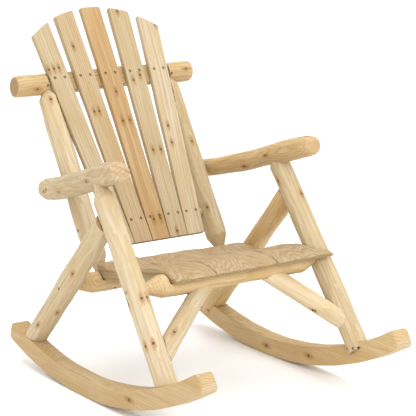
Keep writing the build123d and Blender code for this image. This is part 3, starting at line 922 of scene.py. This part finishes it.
def make_slat(index):
    node = f"back_slat_{index + 3}"
    turn = radians(index * SLAT_FAN)
    x = BACK_X + index * SLAT_PITCH + SLAT_FOOT * tan(turn)
    along = UP_BACK * cos(turn) + np.array((sin(turn), 0, 0))
    axes = Axes(back_point(x, SLAT_FOOT, -SLAT_THICK / 2), along, OUT_BACK)
    reach = SLAT_CROWN + 30 - SLAT_FOOT

    def size(at):
        half = np.interp(at, (0, reach), (SLAT_WIDE_FOOT / 2, SLAT_WIDE_TOP / 2))
        return half, 0 * at + SLAT_THICK / 2, 0 * at + 1.7, 0 * at, 0 * at

    def relief(at, y, z, normal):
        cup = -0.35 * (y / 30) ** 2 * np.abs(normal[:, 1])
        edges = 0.3 * ripple(85 + index, 110, at, z) * np.abs(normal[:, 0])
        return cup + 0.18 * ripple(81 + index, 60, at * 0.4, y, z * 3) + edges

    crown = meets(axes, back_point(BACK_X, SLAT_CROWN - CROWN_RADIUS), OUT_BACK, CROWN_RADIUS, 1)
    half = SLAT_WIDE_TOP / 2
    spots = SLAT_KNOTS[index + 3]
    knots = [(share * reach, across * half, SLAT_THICK / 2, KNOT_SIZE) for share, across in spots]
    looks = dict(seed=90 + index * 3, ring=4.6, warp=3.5, pith=SLAT_PITH[index], contrast=0.42, streak=0.5)
    tone = timber(node, knots, **looks)
    section = board_section(14, 3)
    points, faces = bar_mesh(section, size, flat(0, -tan(turn)), crown, (1.2, 1.2), relief, 5.0, 6)
    piece = add_piece(f"{node}_board", points, faces, axes, tone, [node])
    drill(piece, ("upper_slat_screws", "lower_slat_screws"))


def make_rocker(word, side):
    axes = Axes((side * ROCKER_X[side], CONTACT_Y, 0), (0, -1, 0), (0, 0, 1))
    middle = ROCKER_RADIUS - ROCKER_DEEP / 2
    rear, front = -radians(ROCKER_REAR) * middle, radians(ROCKER_FRONT) * middle

    def round_off(x, radius):
        near = np.clip(np.minimum(x - rear, front - x), 0, radius)
        return radius - np.sqrt(radius**2 - (radius - near) ** 2)

    def size(x):
        high = ROCKER_DEEP / 2 - round_off(x, ROCKER_NOSE)
        wide = ROCKER_THICK / 2 - round_off(x, 7.0)
        return wide, high, np.minimum(3.2, high), 0 * x, 0 * x

    def relief(x, y, z, normal):
        return 0.35 * ripple(101 + side, 120, x, y, z) + 0.15 * ripple(103 + side, 20, x * 0.3, y, z)

    section = board_section(14, 14)
    points, faces = bar_mesh(section, size, flat(rear), flat(front), (1.0, 1.0), relief, 2.5, 8)
    turn = points[:, 0] / middle
    from_centre = middle - points[:, 2]
    along, up = from_centre * np.sin(turn), ROCKER_RADIUS - from_centre * np.cos(turn)
    points = np.stack([along, points[:, 1], up], 1)
    points[:, 2] = np.maximum(points[:, 2], 0)
    knots = []
    for share in ROCKER_KNOTS[word]:
        turn = (rear + (front - rear) * share) / middle
        knots.append((middle * sin(turn), -ROCKER_THICK / 2, ROCKER_RADIUS - middle * cos(turn), 5.0))
    looks = dict(seed=105 + side, ring=5.0, warp=9, wild=0.004, pith=(-30, -70), contrast=0.4, streak=0.4)
    tone = timber(f"{word}_rocker", knots, end=(0.52, 0.40, 0.25), **looks)
    add_piece(f"{word}_rocker_plank", points, faces, axes, tone, [f"{word}_rocker"])


def make_board(number, left, right):
    middle = (left + right) / 2
    length = BOARD_REAR_Y - BOARD_FRONT_Y
    axes = Axes((middle, BOARD_FRONT_Y, bed_z(BOARD_FRONT_Y)), (0, 1, -BED_SLOPE), (0, BED_SLOPE, 1))
    stations = (0, 12, 40, 75, 108, 150, 200, 246, 300, length)
    heights = (5, 15, 27, 35, BOARD_CREST, 33, 24, BOARD_HOLLOW, 27, BOARD_REAR[number - 1])

    def size(x):
        thick = sum(np.interp(x + step, stations, heights) for step in (-16, -8, 0, 8, 16)) / 5
        thick = np.where(x < 20, np.interp(x, stations, heights), thick)
        low, high = left + BOARD_GAP / 2, right - BOARD_GAP / 2
        if number == 3:
            high = np.interp(x, (0, 18, 32), (288, 284, 252))
        wide = (high - low) / 2
        cy = -((high + low) / 2 - middle)
        return wide + 0 * x, thick / 2, np.minimum(6.0, thick * 0.45), cy + 0 * x, thick / 2

    def relief(x, y, z, normal):
        top = np.clip(normal[:, 1], 0, 1)
        lift = 0.8 * ripple(111 + number, 70, x, y) + 0.35 * ripple(113 + number, 22, x, y)
        return top * lift + 0.4 * ripple(117 + number, 60, x) * np.abs(normal[:, 0])

    def start(y, z):
        return 1.5 + 1.2 * ripple(119 + number, 50, y)

    looks = dict(seed=120 + number * 5, ring=8.5, warp=11, pith=(0, -34), contrast=0.65, streak=0.7)
    tone = timber(f"seat_board_{number}", **looks)
    section = board_section(40, 4, 4)
    points, faces = bar_mesh(section, size, start, flat(length), (2.0, 3.0), relief, 4.0, 8)
    add_piece(f"seat_board_{number}_slab", points, faces, axes, tone, [f"seat_board_{number}"])


for word, side in SIDES.items():
    make_rocker(word, side)
    make_post(word, side)
    make_leg(word, side)
    make_arm(word, side)
    make_pole(word, side)
    make_brace(word, side)
make_upper_crossbar()
make_lower_crossbar()
make_rail(
    "front_rail_log", "front_seat_rail", FRONT_RAIL_Y, FRONT_RAIL_Z, FRONT_RAIL_LOG, FRONT_RAIL_SHOULDER, 5
)
make_rail("rear_rail_log", "rear_seat_rail", REAR_RAIL_Y, REAR_RAIL_Z, REAR_RAIL_LOG, REAR_RAIL_SHOULDER, 9)
for index in SLATS:
    make_slat(index)
for number, (left, right) in enumerate(zip(BOARD_EDGES, BOARD_EDGES[1:]), 1):
    make_board(number, left, right)
steel = screw_steel()
for node in SCREW_NODES:
    make_screws(node, steel)


# =========================================================================
# Floor, light and camera
# =========================================================================
def make_floor():
    mesh = bpy.data.meshes.new("floor")
    half = 14.0
    corners = [(-half, -half, 0), (half, -half, 0), (half, half, 0), (-half, half, 0)]
    mesh.from_pydata(corners, [], [(0, 1, 2, 3)])
    floor = bpy.data.objects.new("floor", mesh)
    bpy.context.collection.objects.link(floor)
    pale = bpy.data.materials.new("pale_floor")
    pale.use_nodes = True
    shader = pale.node_tree.nodes["Principled BSDF"]
    shader.inputs["Base Color"].default_value = (0.94, 0.95, 0.96, 1)
    shader.inputs["Roughness"].default_value = 0.9
    shader.inputs["Specular IOR Level"].default_value = 0.1
    mesh.materials.append(pale)


def area_light(name, place, aim, size, power, colour=(1, 1, 1)):
    light = bpy.data.lights.new(name, "AREA")
    light.shape, light.size, light.energy, light.color = "DISK", size, power, colour
    lamp = bpy.data.objects.new(name, light)
    lamp.location = place
    lamp.rotation_mode = "QUATERNION"
    lamp.rotation_quaternion = (Vector(aim) - Vector(place)).to_track_quat("-Z", "Y")
    bpy.context.collection.objects.link(lamp)


def make_light():
    world = bpy.data.worlds.new("studio")
    bpy.context.scene.world = world
    world.use_nodes = True
    world.node_tree.nodes["Background"].inputs[0].default_value = (1, 1, 1, 1)
    world.node_tree.nodes["Background"].inputs[1].default_value = 1.26
    area_light("key", (-1.2, -3.6, 3.0), (0, 0, 0.4), 2.2, 80)
    area_light("top", (0.8, 0.4, 4.0), (0, 0, 0.3), 3.0, 60)


def make_camera():
    target, away = Vector((0.0776, CONTACT_Y * MM, 0.4276)), 4.280
    azimuth, elevation = radians(-35.6), radians(12.5)
    back = Vector((sin(azimuth) * cos(elevation), -cos(azimuth) * cos(elevation), sin(elevation)))
    camera = bpy.data.cameras.new("camera")
    camera.sensor_width, camera.lens = 36.0, 143.65
    seen = bpy.data.objects.new("camera", camera)
    seen.location = target + back * away
    seen.rotation_mode = "QUATERNION"
    seen.rotation_quaternion = (-back).to_track_quat("-Z", "Y")
    bpy.context.collection.objects.link(seen)
    bpy.context.scene.camera = seen


make_floor()
make_light()
make_camera()
bpy.context.scene.view_settings.view_transform = "Standard"
